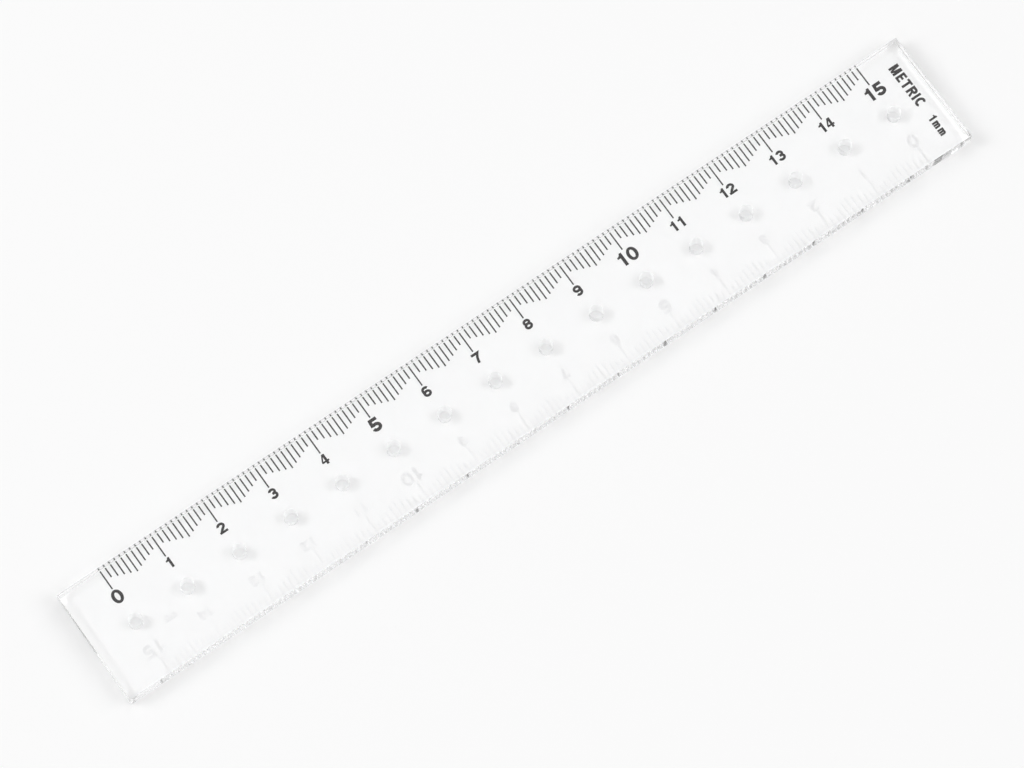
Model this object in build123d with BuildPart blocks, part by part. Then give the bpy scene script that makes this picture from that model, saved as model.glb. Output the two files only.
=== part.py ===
"""Clear acrylic 15 cm ruler with a black scale, a turned white scale and a row of drawing holes.

The plate is one clear piece. Every printed mark is a thin layer of ink stamped into the plate's
underside, flush with it, and read through the plate from above. Each solid here is one such
layer, or the plate itself.

Frame, in millimetres: +X runs along the black scale from 0 to 15, +Y points to the edge that
carries the black scale, and +Z is up. The origin is in the middle of the underside.
"""

import os

from build123d import *

# Plate
SCALE_LENGTH = 150.0
END_MARGIN = 8.0
PLATE_WIDTH = 21.0
PLATE_THICKNESS = 3.0
EDGE_CHAMFER = 0.1
CENTIMETRE = 10.0
MILLIMETRES_PER_CENTIMETRE = 10

# Drawing holes, one under every numbered mark, on the centre line
HOLE_DIAMETER = 2.2
HOLE_CHAMFER = 0.08

# Ink
INK_THICKNESS = 0.03
TICK_WIDTH = 0.23
TICK_INSET = 0.15

# How far each mark reaches in from the edge of the plate
FIRST_TICK_REACH = 2.0
TICK_REACH_STEP = 0.4
CENTIMETRE_TICK_REACH = 4.12
MAJOR_TICK_REACH = 3.75

# Figures under the centimetre marks: the plain ones, and the larger ones at every fifth
PLAIN_CAP = 1.86
PLAIN_FIGURE_TOP = 4.42
MAJOR_CAP = 2.42
MAJOR_FIGURE_TOP = 4.0
MAJOR_EVERY = 5

# Words at the end of the plate, turned to read from the black scale's edge to the white one's
LEGEND_X = 80.1
LEGEND_WORD = "METRIC"
LEGEND_WORD_CAP = 1.85
LEGEND_WORD_REACH = 7.45
LEGEND_UNIT = "1mm"
LEGEND_UNIT_CAP = 1.5
LEGEND_UNIT_REACH = 15.9
WHITE_LEGEND = "cm"
WHITE_LEGEND_CAP = 1.4
WHITE_LEGEND_X = 70.0
WHITE_LEGEND_REACH = 7.9

# Shape of the lettering, for a capital one unit high
STROKE = 0.23
FIGURE_WIDTH = 0.78
UPPER_BOWL = 0.19
LOWER_BOWL = 0.21
BOWL_STRETCH = 1.27
LOWER_CASE_HEIGHT = 0.74
ADVANCE = {"M": 1.0, "E": 0.78, "T": 0.8, "R": 0.84, "I": 0.38, "C": 0.88, "c": 0.72, "m": 1.0, "1": 0.74}
FIGURE_ADVANCE = 0.8

CENTIMETRES = round(SCALE_LENGTH / CENTIMETRE)
PLATE_LENGTH = SCALE_LENGTH + 2 * END_MARGIN
EDGE_Y = PLATE_WIDTH / 2
SCALE_START = -SCALE_LENGTH / 2

# The white scale is the black one turned half a turn about the plate's middle
BLACK_PLANE = Plane(origin=(0, 0, 0), x_dir=(1, 0, 0), z_dir=(0, 0, 1))
WHITE_PLANE = Plane(origin=(0, 0, 0), x_dir=(-1, 0, 0), z_dir=(0, 0, 1))


# ---- lettering: each function draws one character, one unit high ----


def top_line():
    """Height of the middle of a stroke that lies along the top of a capital."""
    return 1 - STROKE / 2


def upper_bowl_centre():
    return 1 - STROKE / 2 - UPPER_BOWL


def lower_bowl_centre():
    return STROKE / 2 + LOWER_BOWL


def ring(centre_y, radius):
    """A closed bowl, a little wider than it is high."""
    with Locations((0, centre_y)):
        Ellipse(BOWL_STRETCH * radius + STROKE / 2, radius + STROKE / 2)
        Ellipse(BOWL_STRETCH * radius - STROKE / 2, radius - STROKE / 2, mode=Mode.SUBTRACT)


def bowl(centre_y, radius, start, turn):
    """The middle line of an open bowl, from a start angle, counterclockwise."""
    return EllipticalCenterArc((0, centre_y), BOWL_STRETCH * radius, radius, start, arc_size=turn)


def bar(x, y, width, height):
    """A straight stroke, given by its lower left corner."""
    with Locations((x, y)):
        Rectangle(width, height, align=(Align.MIN, Align.MIN))


def figure_0():
    with BuildSketch() as shape:
        with Locations((0, 0.5)):
            Ellipse(FIGURE_WIDTH / 2, 0.5)
            Ellipse(FIGURE_WIDTH / 2 - STROKE, 0.5 - 0.85 * STROKE, mode=Mode.SUBTRACT)
    return shape.sketch


def figure_1():
    with BuildSketch() as shape:
        stem_left, flag_left, flag_foot, flag_head = -0.05, -0.26, 0.66, 0.8
        with BuildLine():
            foot = Line((stem_left + STROKE, 0), (stem_left + STROKE, 1))
            head = Line(foot @ 1, (0, 1))
            flag = ThreePointArc(head @ 1, (-0.1, 0.85), (flag_left, flag_head))
            Polyline(flag @ 1, (flag_left, flag_foot), (stem_left, flag_foot), (stem_left, 0), foot @ 0)
        make_face()
    return shape.sketch


def figure_2():
    with BuildSketch() as shape:
        with BuildLine():
            head = bowl(1 - lower_bowl_centre(), LOWER_BOWL, -40, 215)
            Spline(
                head @ 0,
                (-LOWER_BOWL, STROKE / 2),
                tangents=[-(head % 0), (-0.35, -1)],
                tangent_scalars=(0.9, 0.8),
            )
        trace(line_width=STROKE)
        bar(-FIGURE_WIDTH / 2, 0, FIGURE_WIDTH, 0.9 * STROKE)
    return shape.sketch


def figure_3():
    with BuildSketch() as shape:
        with BuildLine():
            bowl(upper_bowl_centre(), UPPER_BOWL, -90, 255)
        trace(line_width=STROKE)
        with BuildLine():
            bowl(lower_bowl_centre(), LOWER_BOWL, -165, 255)
        trace(line_width=STROKE)
        bar(-0.08, 0.5 - STROKE / 2 + 0.02, 0.1, 0.9 * STROKE)
    return shape.sketch


def figure_4():
    with BuildSketch() as shape:
        stem_right, bar_foot, bar_head = 0.21, 0.21, 0.37
        stem_left = stem_right - STROKE
        with BuildLine():
            Polyline(
                (stem_right, 0),
                (stem_right, bar_foot),
                (0.34, bar_foot),
                (0.34, bar_head),
                (stem_right, bar_head),
                (stem_right, 1),
                (stem_left - 0.03, 1),
                (-0.37, bar_head),
                (-0.37, bar_foot),
                (stem_left, bar_foot),
                (stem_left, 0),
                close=True,
            )
        make_face()
        with BuildLine():
            Polyline((stem_left, bar_head), (stem_left, 0.76), (-0.21, bar_head), close=True)
        make_face(mode=Mode.SUBTRACT)
    return shape.sketch


def figure_5():
    with BuildSketch() as shape:
        with BuildLine():
            bowl(lower_bowl_centre(), LOWER_BOWL, -165, 300)
        trace(line_width=STROKE)
        with BuildLine():
            Polyline((-0.24, 0.42), (-0.19, top_line()), (0.31, top_line()))
        trace(line_width=STROKE)
    return shape.sketch


def figure_6():
    with BuildSketch() as shape:
        ring(lower_bowl_centre(), LOWER_BOWL)
        with BuildLine():
            hook = bowl(1 - lower_bowl_centre(), LOWER_BOWL, 30, 150)
            Line(hook @ 1, (-BOWL_STRETCH * LOWER_BOWL, lower_bowl_centre()))
        trace(line_width=STROKE)
    return shape.sketch


def figure_7():
    with BuildSketch() as shape:
        with BuildLine():
            head = Line((-FIGURE_WIDTH / 2, top_line()), (0.26, top_line()))
            ThreePointArc(head @ 1, (0.03, 0.5), (-0.09, 0))
        trace(line_width=STROKE)
    return shape.sketch


def figure_8():
    with BuildSketch() as shape:
        ring(upper_bowl_centre(), UPPER_BOWL)
        ring(lower_bowl_centre(), LOWER_BOWL)
    return shape.sketch


def figure_9():
    with BuildSketch() as shape:
        ring(1 - lower_bowl_centre(), LOWER_BOWL)
        with BuildLine():
            hook = bowl(lower_bowl_centre(), LOWER_BOWL, -150, 150)
            Line(hook @ 1, (BOWL_STRETCH * LOWER_BOWL, 1 - lower_bowl_centre()))
        trace(line_width=STROKE)
    return shape.sketch


def capital_m():
    with BuildSketch() as shape:
        half = 0.42
        bar(-half, 0, STROKE, 1)
        bar(half - STROKE, 0, STROKE, 1)
        with BuildLine():
            Polyline((-half, 1), (-half + 1.35 * STROKE, 1), (0, 0.3), (0, 0), (-0.09, 0), close=True)
        make_face()
        with BuildLine():
            Polyline((half, 1), (half - 1.35 * STROKE, 1), (0, 0.3), (0, 0), (0.09, 0), close=True)
        make_face()
    return shape.sketch


def capital_e():
    with BuildSketch() as shape:
        bar(-0.29, 0, STROKE, 1)
        bar(-0.29, 0, 0.58, 0.9 * STROKE)
        bar(-0.29, 0.5 - 0.4 * STROKE, 0.53, 0.9 * STROKE)
        bar(-0.29, 1 - 0.9 * STROKE, 0.57, 0.9 * STROKE)
    return shape.sketch


def capital_t():
    with BuildSketch() as shape:
        bar(-STROKE / 2, 0, STROKE, 1)
        bar(-0.33, 1 - 0.9 * STROKE, 0.66, 0.9 * STROKE)
    return shape.sketch


def capital_r():
    with BuildSketch() as shape:
        bar(-0.34, 0, STROKE, 1)
        bowl_foot = 0.41
        bowl_radius = (top_line() - bowl_foot - STROKE / 2) / 2
        with BuildLine():
            head = Line((-0.3, top_line()), (0.08, top_line()))
            bowl = JernArc(head @ 1, head % 1, bowl_radius, -180)
            Line(bowl @ 1, (-0.3, top_line() - 2 * bowl_radius))
        trace(line_width=STROKE)
        with BuildLine():
            Polyline((-0.06, bowl_foot + 0.06), (0.15, bowl_foot + 0.06), (0.36, 0), (0.13, 0), close=True)
        make_face()
    return shape.sketch


def capital_i():
    with BuildSketch() as shape:
        bar(-STROKE / 2, 0, STROKE, 1)
    return shape.sketch


def capital_c():
    with BuildSketch() as shape:
        with BuildLine():
            EllipticalCenterArc((0, 0.5), 0.38 - STROKE / 2, 0.5 - STROKE / 2, 48, arc_size=264)
        trace(line_width=STROKE)
    return shape.sketch


def small_c():
    with BuildSketch() as shape:
        middle = LOWER_CASE_HEIGHT / 2
        with BuildLine():
            EllipticalCenterArc((0, middle), 0.3 - STROKE / 2, middle - STROKE / 2, 48, arc_size=264)
        trace(line_width=STROKE)
    return shape.sketch


def small_m():
    with BuildSketch() as shape:
        outer = 0.4
        arch = (2 * outer - STROKE) / 4
        arch_foot = LOWER_CASE_HEIGHT - STROKE / 2 - arch
        for centre in (-arch, arch):
            with BuildLine():
                rise = Line((centre - arch, 0), (centre - arch, arch_foot))
                bend = JernArc(rise @ 1, rise % 1, arch, -180)
                Line(bend @ 1, (centre + arch, 0))
            trace(line_width=STROKE)
        bar(-outer, 0, STROKE, LOWER_CASE_HEIGHT)
    return shape.sketch


CHARACTERS = {
    "0": figure_0,
    "1": figure_1,
    "2": figure_2,
    "3": figure_3,
    "4": figure_4,
    "5": figure_5,
    "6": figure_6,
    "7": figure_7,
    "8": figure_8,
    "9": figure_9,
    "M": capital_m,
    "E": capital_e,
    "T": capital_t,
    "R": capital_r,
    "I": capital_i,
    "C": capital_c,
    "c": small_c,
    "m": small_m,
}


def character(name, cap):
    """One character as a sketch, cap high, centred on x = 0 with its foot on y = 0."""
    return scale(CHARACTERS[name](), by=cap, mode=Mode.PRIVATE)


def line_of_text(text, cap, advances):
    """A row of characters, centred on x = 0 with its foot on y = 0."""
    left = -sum(advances) * cap / 2
    with BuildSketch() as row:
        for name, advance in zip(text, advances):
            with Locations((left + advance * cap / 2, 0)):
                add(character(name, cap))
            left += advance * cap
    return row.sketch


# ---- the plate ----


def make_plate(inks):
    """The clear plate with its broken edges, its row of through holes and a shallow bed for each ink."""
    hole_places = [(SCALE_START + CENTIMETRE * n, 0) for n in range(CENTIMETRES + 1)]
    with BuildPart() as ruler_body:
        with BuildSketch():
            Rectangle(PLATE_LENGTH, PLATE_WIDTH)
            with Locations(*hole_places):
                Circle(HOLE_DIAMETER / 2, mode=Mode.SUBTRACT)
        extrude(amount=PLATE_THICKNESS)
        faces = ruler_body.faces().filter_by(Axis.Z)
        chamfer(faces.edges().filter_by(GeomType.LINE), length=EDGE_CHAMFER)
        chamfer(faces.edges().filter_by(GeomType.CIRCLE), length=HOLE_CHAMFER)
        add([ink.part for ink in inks], mode=Mode.SUBTRACT)
    return ruler_body


# ---- the scales ----


def tick_reach(millimetres):
    """How far the mark at this many millimetres reaches in, longest half way between two figures."""
    past = millimetres % MILLIMETRES_PER_CENTIMETRE
    if past == 0:
        major = is_major(millimetres // MILLIMETRES_PER_CENTIMETRE)
        return MAJOR_TICK_REACH if major else CENTIMETRE_TICK_REACH
    from_figure = min(past, MILLIMETRES_PER_CENTIMETRE - past)
    return FIRST_TICK_REACH + TICK_REACH_STEP * (from_figure - 1)


def is_major(centimetres):
    return centimetres % MAJOR_EVERY == 0


def make_ticks(plane, marks):
    """The ink of a group of marks, given in millimetres along the scale."""
    with BuildPart() as ticks:
        with BuildSketch(plane):
            for reach in sorted({tick_reach(n) for n in marks}):
                places = [(SCALE_START + n, EDGE_Y - TICK_INSET) for n in marks if tick_reach(n) == reach]
                with Locations(*places):
                    Rectangle(TICK_WIDTH, reach - TICK_INSET, align=(Align.CENTER, Align.MAX))
        extrude(amount=INK_THICKNESS)
    return ticks


def make_numeral(plane, centimetres):
    """The ink of the figures under one centimetre mark."""
    cap = MAJOR_CAP if is_major(centimetres) else PLAIN_CAP
    figure_top = MAJOR_FIGURE_TOP if is_major(centimetres) else PLAIN_FIGURE_TOP
    text = str(centimetres)
    with BuildPart() as numeral:
        with BuildSketch(plane):
            with Locations((SCALE_START + CENTIMETRE * centimetres, EDGE_Y - figure_top - cap)):
                add(line_of_text(text, cap, [FIGURE_ADVANCE] * len(text)))
        extrude(amount=INK_THICKNESS)
    return numeral


def make_legend(plane, text, cap, x, reach, turn):
    """The ink of a word, with its middle at x and this far in from the edge."""
    with BuildPart() as legend:
        with BuildSketch(plane):
            with Locations(Location((x, EDGE_Y - reach, 0), (0, 0, turn))):
                with Locations((0, -cap / 2)):
                    add(line_of_text(text, cap, [ADVANCE[name] for name in text]))
        extrude(amount=INK_THICKNESS)
    return legend


def write_part(builder, name):
    builder.part.label = name
    export_step(builder.part, f"parts/{name}.step")


def make_scale(plane, colour):
    """The inks of one scale by name: three groups of marks, and each number on its own."""
    all_marks = range(round(SCALE_LENGTH) + 1)
    past_figure = [n % MILLIMETRES_PER_CENTIMETRE for n in all_marks]
    half = MILLIMETRES_PER_CENTIMETRE // 2
    centimetre_marks = [n for n, past in zip(all_marks, past_figure) if past == 0]
    half_marks = [n for n, past in zip(all_marks, past_figure) if past == half]
    millimetre_marks = [n for n, past in zip(all_marks, past_figure) if past not in (0, half)]
    inks = {
        f"{colour}_centimetre_ticks": make_ticks(plane, centimetre_marks),
        f"{colour}_half_centimetre_ticks": make_ticks(plane, half_marks),
        f"{colour}_millimetre_ticks": make_ticks(plane, millimetre_marks),
    }
    for centimetres in range(CENTIMETRES + 1):
        inks[f"{colour}_numeral_{centimetres:02d}"] = make_numeral(plane, centimetres)
    return inks


def make_black_legends():
    word = make_legend(BLACK_PLANE, LEGEND_WORD, LEGEND_WORD_CAP, LEGEND_X, LEGEND_WORD_REACH, -90)
    unit = make_legend(BLACK_PLANE, LEGEND_UNIT, LEGEND_UNIT_CAP, LEGEND_X, LEGEND_UNIT_REACH, -90)
    return {"black_legend_word": word, "black_legend_unit": unit}


def make_white_legend():
    unit = make_legend(WHITE_PLANE, WHITE_LEGEND, WHITE_LEGEND_CAP, WHITE_LEGEND_X, WHITE_LEGEND_REACH, 0)
    return {"white_legend_unit": unit}


all_inks = {
    **make_scale(BLACK_PLANE, "black"),
    **make_black_legends(),
    **make_scale(WHITE_PLANE, "white"),
    **make_white_legend(),
}

os.makedirs("parts", exist_ok=True)
write_part(make_plate(all_inks.values()), "ruler_body")
for ink_name, ink in all_inks.items():
    write_part(ink, ink_name)
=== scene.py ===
"""Looks of the clear 15 cm ruler: polished acrylic, black and white stamped ink, a white table."""

import math

import bmesh
import bpy
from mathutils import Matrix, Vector


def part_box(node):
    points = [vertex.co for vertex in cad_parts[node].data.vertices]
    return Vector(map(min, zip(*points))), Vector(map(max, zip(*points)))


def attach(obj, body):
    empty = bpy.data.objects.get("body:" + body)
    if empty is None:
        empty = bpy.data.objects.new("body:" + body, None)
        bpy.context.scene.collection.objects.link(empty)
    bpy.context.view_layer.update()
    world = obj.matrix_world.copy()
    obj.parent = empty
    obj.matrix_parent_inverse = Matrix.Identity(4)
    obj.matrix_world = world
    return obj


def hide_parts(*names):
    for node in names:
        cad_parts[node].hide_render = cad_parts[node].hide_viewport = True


MM = 0.001

# Plate
PLATE_NODE = "ruler_body"
HOLE_RADIUS = 1.1 * MM
HOLE_PITCH = 10 * MM
HOLE_COUNT = 16
HOLE_SEGMENTS = 64
EDGE_ROUND = 0.1 * MM
HOLE_ROUND = 0.08 * MM
ROUND_STEPS = 4

# Ink: its thickness, and how much of it is inside the clear plate; the rest holds the plate off the table
INK_THICKNESS = 0.03 * MM
INK_BITE = 0.018 * MM

# Points closer than this count as touching, and a direction that leans less than this as level
TOUCHING = 1e-7
LEVEL = 1e-9

# Acrylic: a surface whose normal's Z is under FACE_LIMIT is a wall, and any other is a face
ACRYLIC_COLOUR = (0.998, 0.999, 1.0, 1.0)
ACRYLIC_IOR = 1.49
FACE_LIMIT = 0.5
TOOL_MARKS = {"stretch": (1.0, 1.0, 12.0), "scale": 900.0, "detail": 3.0}
WALL_ROUGHNESS = 0.1
WALL_BUMP_STRENGTH = 0.15
WALL_BUMP_DEPTH = 0.02 * MM
HOLE_ROUGHNESS = 0.6
HOLE_ROUGHNESS_FLOOR = 0.5
HOLE_FROST = 0.9
HAIRLINES = {"stretch": (0.02, 1.0, 1.0), "scale": 2600.0, "detail": 2.0}
HAIRLINE_LEVEL = 0.74
HAIRLINE_ROUGHNESS = 0.06

# Inks: darkest and lightest of the mottle, and roughness
BLACK_INK = ((0.012, 0.010, 0.010), (0.03, 0.026, 0.025), 0.45)
WHITE_INK = ((0.925, 0.925, 0.93), (0.945, 0.945, 0.95), 0.5)
MOTTLE_SCALE = 9000.0
MOTTLE_DETAIL = 3.0

# Table and light
TABLE_REACH = 3.0
TABLE_COLOUR = (0.93, 0.93, 0.93, 1.0)
LIGHT_ELEVATION = math.radians(40)
LIGHT_DISTANCE = 2.0
LEFT_LIGHT_SIZE = 1.0
LEFT_LIGHT_POWER = 9.6
RIGHT_LIGHT_SIZE = 1.2
RIGHT_LIGHT_POWER = 7.4
HORIZON_STRENGTH = 0.68
ZENITH_STRENGTH = 0.88
BOUNCES = 96

# Camera
LENS_MM = 181.48
SENSOR_MM = 36.0
CAMERA_DISTANCE = 0.8365
CAMERA_ELEVATION = math.radians(72.25)
CAMERA_TURN = math.radians(35.06)
LOOK_AT_X = -2.767 * MM
LOOK_AT_Y = -1.478 * MM
CLIP_START = 0.01
CLIP_END = 20.0


def new_material(name):
    """An empty node material and its output node."""
    material = bpy.data.materials.new(name)
    material.use_nodes = True
    tree = material.node_tree
    tree.nodes.clear()
    output = tree.nodes.new("ShaderNodeOutputMaterial")
    return material, tree, output


def node(tree, kind, **inputs):
    """Add a node and set the inputs whose names are given, with _ for a space."""
    made = tree.nodes.new(kind)
    for name, value in inputs.items():
        made.inputs[name.replace("_", " ")].default_value = value
    return made


# ---- plate mesh ----


def rectangle_point(angle, left, right, half_width):
    """Where a ray from the hole's centre leaves the rectangle around it."""
    dx, dy = math.cos(angle), math.sin(angle)
    reach_x = (right if dx > 0 else -left) / abs(dx) if abs(dx) > LEVEL else math.inf
    reach_y = half_width / abs(dy) if abs(dy) > LEVEL else math.inf
    reach = min(reach_x, reach_y)
    return dx * reach, dy * reach


def rounded_profile(radius, bottom, top, steps):
    """(inset, height) down the wall from the top face to the bottom face, round at both ends."""
    profile = []
    for step in range(steps + 1):
        angle = math.pi / 2 * step / steps
        profile.append((radius * (1 - math.sin(angle)), top - radius * (1 - math.cos(angle))))
    for step in range(steps + 1):
        angle = math.pi / 2 * step / steps
        profile.append((radius * (1 - math.cos(angle)), bottom + radius * (1 - math.sin(angle))))
    return profile


def cell_angles(left, right, half_width, segments):
    """Angles around a hole, even all round, with the rectangle's corners among them."""
    corners = [math.atan2(y, x) % math.tau for x in (left, right) for y in (-half_width, half_width)]
    angles = [math.tau * (n + 0.5) / segments for n in range(segments)]
    for corner in corners:
        nearest = min(range(segments), key=lambda n: abs(angles[n] - corner))
        angles[nearest] = corner
    return angles


def build_plate(low, high):
    """The plate with its holes, every edge rounded, as one closed mesh."""
    mesh = bpy.data.meshes.new("clear_plate")
    bm = bmesh.new()
    half_length = (high.x - low.x) / 2
    half_width = (high.y - low.y) / 2
    bottom, top = low.z + INK_THICKNESS - INK_BITE, high.z
    outer_profile = rounded_profile(EDGE_ROUND, bottom, top, ROUND_STEPS)
    hole_profile = rounded_profile(HOLE_ROUND, bottom, top, ROUND_STEPS)

    def at_end(x):
        return abs(abs(x) - half_length) < TOUCHING

    def at_side(y):
        return abs(abs(y) - half_width) < TOUCHING

    def on_outline(x, y):
        return at_end(x) or at_side(y)

    def inset_point(x, y, inset):
        """A point of the outline moved in by the inset, along X, Y or both."""
        if at_end(x):
            x = math.copysign(half_length - inset, x)
        if at_side(y):
            y = math.copysign(half_width - inset, y)
        return x, y

    first = -(HOLE_COUNT - 1) / 2 * HOLE_PITCH
    for hole in range(HOLE_COUNT):
        centre = first + hole * HOLE_PITCH
        left = -half_length - centre if hole == 0 else -HOLE_PITCH / 2
        right = half_length - centre if hole == HOLE_COUNT - 1 else HOLE_PITCH / 2
        angles = cell_angles(left, right, half_width, HOLE_SEGMENTS)
        edge = [rectangle_point(angle, left, right, half_width) for angle in angles]
        edge = [(centre + x, y) for x, y in edge]

        hole_rings = []
        for inset, height in hole_profile:
            radius = HOLE_RADIUS + inset
            ring = [
                bm.verts.new((centre + radius * math.cos(a), radius * math.sin(a), height)) for a in angles
            ]
            hole_rings.append(ring)
        top_edge = [bm.verts.new((*inset_point(x, y, EDGE_ROUND), top)) for x, y in edge]
        bottom_edge = [bm.verts.new((*inset_point(x, y, EDGE_ROUND), bottom)) for x, y in edge]
        outer_rings = [
            [bm.verts.new((*inset_point(x, y, inset), height)) for x, y in edge]
            for inset, height in outer_profile
        ]
        for n in range(HOLE_SEGMENTS):
            m = (n + 1) % HOLE_SEGMENTS
            bm.faces.new((hole_rings[0][n], top_edge[n], top_edge[m], hole_rings[0][m]))
            bm.faces.new((hole_rings[-1][m], bottom_edge[m], bottom_edge[n], hole_rings[-1][n]))
            for upper, lower in zip(hole_rings, hole_rings[1:]):
                face = bm.faces.new((upper[n], upper[m], lower[m], lower[n]))
                face.smooth = True
            if on_outline(*edge[n]) and on_outline(*edge[m]):
                for upper, lower in zip(outer_rings, outer_rings[1:]):
                    face = bm.faces.new((upper[n], lower[n], lower[m], upper[m]))
                    face.smooth = True
    bmesh.ops.remove_doubles(bm, verts=bm.verts, dist=TOUCHING)
    loose = [v for v in bm.verts if not v.link_faces]
    bmesh.ops.delete(bm, geom=loose, context="VERTS")
    bmesh.ops.recalc_face_normals(bm, faces=bm.faces)
    bm.to_mesh(mesh)
    bm.free()
    plate = bpy.data.objects.new("clear_plate", mesh)
    bpy.context.scene.collection.objects.link(plate)
    return plate


# ---- materials ----


def math_node(tree, operation, first, second):
    """A Math node of two inputs, each a number or another node's output."""
    made = tree.nodes.new("ShaderNodeMath")
    made.operation = operation
    for socket, value in zip(made.inputs, (first, second)):
        if isinstance(value, (int, float)):
            socket.default_value = value
        else:
            tree.links.new(value, socket)
    return made.outputs["Value"]


def stretched_noise(tree, stretch, scale, detail):
    """Noise over the plate in metres, drawn out along the axes where the stretch is small."""
    where = node(tree, "ShaderNodeTexCoord")
    mapping = node(tree, "ShaderNodeMapping", Scale=stretch)
    noise = node(tree, "ShaderNodeTexNoise", Scale=scale, Detail=detail)
    tree.links.new(where.outputs["Object"], mapping.inputs["Vector"])
    tree.links.new(mapping.outputs["Vector"], noise.inputs["Vector"])
    return noise.outputs["Fac"]


def acrylic_material():
    """Clear acrylic: smooth faces with a few hairlines, satin machined edges and milky drilled holes."""
    material, tree, output = new_material("clear_acrylic")
    glass = node(tree, "ShaderNodeBsdfPrincipled", IOR=ACRYLIC_IOR)
    glass.inputs["Base Color"].default_value = ACRYLIC_COLOUR

    normal = node(tree, "ShaderNodeNewGeometry").outputs["Normal"]
    split = node(tree, "ShaderNodeSeparateXYZ")
    tree.links.new(normal, split.inputs["Vector"])
    flatness = math_node(tree, "ABSOLUTE", split.outputs["Z"], 0.0)
    wall = math_node(tree, "LESS_THAN", flatness, FACE_LIMIT)

    where = node(tree, "ShaderNodeTexCoord")
    place = node(tree, "ShaderNodeSeparateXYZ")
    tree.links.new(where.outputs["Object"], place.inputs["Vector"])
    from_middle = math_node(tree, "ABSOLUTE", place.outputs["Y"], 0.0)
    in_hole = math_node(tree, "LESS_THAN", from_middle, HOLE_RADIUS + EDGE_ROUND)
    from_end = math_node(tree, "ABSOLUTE", place.outputs["X"], 0.0)
    off_end = math_node(tree, "LESS_THAN", from_end, HOLE_PITCH * HOLE_COUNT / 2)
    hole_wall = math_node(tree, "MULTIPLY", math_node(tree, "MULTIPLY", in_hole, off_end), wall)

    tool_marks = stretched_noise(tree, **TOOL_MARKS)
    wall_rough = math_node(tree, "MULTIPLY", math_node(tree, "MULTIPLY", tool_marks, WALL_ROUGHNESS), wall)
    hole_marks = math_node(tree, "ADD", tool_marks, HOLE_ROUGHNESS_FLOOR)
    hole_rough = math_node(tree, "MULTIPLY", hole_marks, HOLE_ROUGHNESS)
    hole_rough = math_node(tree, "MULTIPLY", hole_rough, hole_wall)

    hairlines = stretched_noise(tree, **HAIRLINES)
    scratched = math_node(tree, "GREATER_THAN", hairlines, HAIRLINE_LEVEL)
    scratch_rough = math_node(tree, "MULTIPLY", scratched, HAIRLINE_ROUGHNESS)

    rough = math_node(tree, "ADD", math_node(tree, "ADD", wall_rough, hole_rough), scratch_rough)
    tree.links.new(rough, glass.inputs["Roughness"])
    frost = math_node(tree, "MULTIPLY", hole_wall, HOLE_FROST)
    tree.links.new(math_node(tree, "SUBTRACT", 1.0, frost), glass.inputs["Transmission Weight"])
    bump = node(tree, "ShaderNodeBump", Strength=WALL_BUMP_STRENGTH, Distance=WALL_BUMP_DEPTH)
    tree.links.new(math_node(tree, "MULTIPLY", tool_marks, wall), bump.inputs["Height"])
    tree.links.new(bump.outputs["Normal"], glass.inputs["Normal"])
    tree.links.new(glass.outputs["BSDF"], output.inputs["Surface"])
    return material


def ink_material(name, dark, light, roughness):
    """Stamped ink: an even film with a faint mottle."""
    material, tree, output = new_material(name)
    surface = node(tree, "ShaderNodeBsdfPrincipled", Roughness=roughness)
    where = node(tree, "ShaderNodeTexCoord")
    mottle = node(tree, "ShaderNodeTexNoise", Scale=MOTTLE_SCALE, Detail=MOTTLE_DETAIL)
    ramp = node(tree, "ShaderNodeValToRGB")
    ramp.color_ramp.elements[0].color = (*dark, 1.0)
    ramp.color_ramp.elements[1].color = (*light, 1.0)
    tree.links.new(where.outputs["Object"], mottle.inputs["Vector"])
    tree.links.new(mottle.outputs["Fac"], ramp.inputs["Fac"])
    tree.links.new(ramp.outputs["Color"], surface.inputs["Base Color"])
    tree.links.new(surface.outputs["BSDF"], output.inputs["Surface"])
    return material


def table_material():
    material, tree, output = new_material("white_table")
    surface = node(tree, "ShaderNodeBsdfDiffuse", Color=TABLE_COLOUR)
    tree.links.new(surface.outputs["BSDF"], output.inputs["Surface"])
    return material


# ---- stage ----


def add_camera():
    away = Vector((math.sin(CAMERA_TURN), math.cos(CAMERA_TURN), 0.0))
    ahead = away * math.cos(CAMERA_ELEVATION) - Vector((0, 0, 1)) * math.sin(CAMERA_ELEVATION)
    data = bpy.data.cameras.new("camera")
    data.lens = LENS_MM
    data.sensor_width = SENSOR_MM
    data.clip_start = CLIP_START
    data.clip_end = CLIP_END
    camera = bpy.data.objects.new("camera", data)
    camera.location = Vector((LOOK_AT_X, LOOK_AT_Y, 0.0)) - ahead * CAMERA_DISTANCE
    camera.rotation_euler = ahead.to_track_quat("-Z", "Y").to_euler()
    bpy.context.scene.collection.objects.link(camera)
    bpy.context.scene.camera = camera


def add_softbox(name, azimuth, size, power):
    """A square softbox at an azimuth from camera right, turning away from the camera, aimed at the ruler."""
    right = Vector((math.cos(CAMERA_TURN), -math.sin(CAMERA_TURN), 0.0))
    away = Vector((math.sin(CAMERA_TURN), math.cos(CAMERA_TURN), 0.0))
    ground = right * math.cos(azimuth) + away * math.sin(azimuth)
    direction = ground * math.cos(LIGHT_ELEVATION) + Vector((0, 0, 1)) * math.sin(LIGHT_ELEVATION)
    data = bpy.data.lights.new(name, "AREA")
    data.shape = "SQUARE"
    data.size = size
    data.energy = power
    light = bpy.data.objects.new(name, data)
    light.location = direction * LIGHT_DISTANCE
    light.rotation_euler = (-direction).to_track_quat("-Z", "Y").to_euler()
    bpy.context.scene.collection.objects.link(light)


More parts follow.
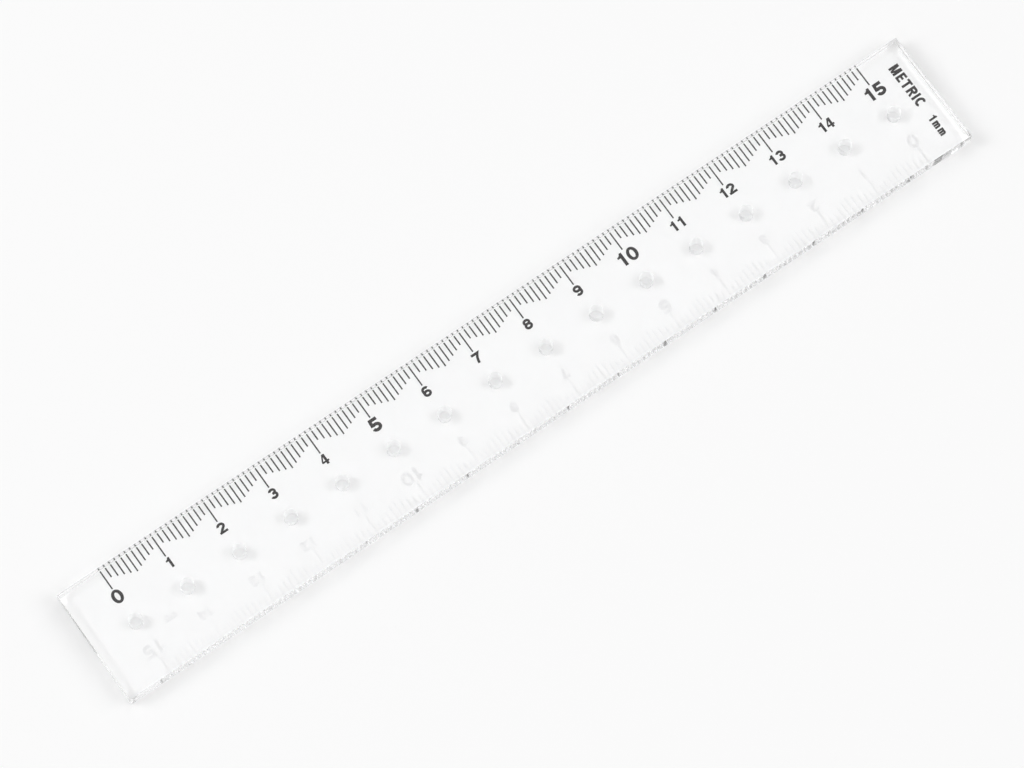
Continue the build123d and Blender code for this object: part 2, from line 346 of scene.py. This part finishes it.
def add_table():
    mesh = bpy.data.meshes.new("table")
    reach = TABLE_REACH
    corners = [(-reach, -reach, 0), (reach, -reach, 0), (reach, reach, 0), (-reach, reach, 0)]
    mesh.from_pydata(corners, [], [(0, 1, 2, 3)])
    table = bpy.data.objects.new("table", mesh)
    table.data.materials.append(table_material())
    bpy.context.scene.collection.objects.link(table)


def set_world(horizon, zenith):
    """A white tent round the table, going from horizon to zenith with the square of sin(elevation)."""
    world = bpy.data.worlds.new("studio")
    world.use_nodes = True
    tree = world.node_tree
    background = tree.nodes["Background"]
    background.inputs["Color"].default_value = (1, 1, 1, 1)
    direction = tree.nodes.new("ShaderNodeTexCoord")
    split = tree.nodes.new("ShaderNodeSeparateXYZ")
    square = tree.nodes.new("ShaderNodeMath")
    square.operation = "MULTIPLY"
    strength = tree.nodes.new("ShaderNodeMath")
    strength.operation = "MULTIPLY_ADD"
    strength.inputs[1].default_value = zenith - horizon
    strength.inputs[2].default_value = horizon
    tree.links.new(direction.outputs["Generated"], split.inputs["Vector"])
    tree.links.new(split.outputs["Z"], square.inputs[0])
    tree.links.new(split.outputs["Z"], square.inputs[1])
    tree.links.new(square.outputs["Value"], strength.inputs[0])
    tree.links.new(strength.outputs["Value"], background.inputs["Strength"])
    bpy.context.scene.world = world


# ---- build ----

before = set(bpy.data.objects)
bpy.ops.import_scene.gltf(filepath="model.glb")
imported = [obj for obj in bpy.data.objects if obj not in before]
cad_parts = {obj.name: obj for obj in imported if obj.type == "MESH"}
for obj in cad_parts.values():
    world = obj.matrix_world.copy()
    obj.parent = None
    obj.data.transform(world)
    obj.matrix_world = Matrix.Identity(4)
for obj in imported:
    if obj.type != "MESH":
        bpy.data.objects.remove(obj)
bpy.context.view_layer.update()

plate = build_plate(*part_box(PLATE_NODE))
plate.data.materials.append(acrylic_material())
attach(plate, "root")
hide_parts(PLATE_NODE)

black_ink = ink_material("black_ink", *BLACK_INK)
white_ink = ink_material("white_ink", *WHITE_INK)
for name, cad_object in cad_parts.items():
    if name == PLATE_NODE:
        continue
    cad_object.data.materials.clear()
    cad_object.data.materials.append(black_ink if name.startswith("black") else white_ink)

add_table()
add_camera()
add_softbox("left_light", math.radians(180), LEFT_LIGHT_SIZE, LEFT_LIGHT_POWER)
add_softbox("right_light", 0.0, RIGHT_LIGHT_SIZE, RIGHT_LIGHT_POWER)
set_world(HORIZON_STRENGTH, ZENITH_STRENGTH)

scene = bpy.context.scene
scene.view_settings.view_transform = "Standard"
scene.cycles.max_bounces = BOUNCES
scene.cycles.diffuse_bounces = BOUNCES
scene.cycles.transmission_bounces = BOUNCES
scene.cycles.glossy_bounces = BOUNCES
scene.cycles.blur_glossy = 0.0
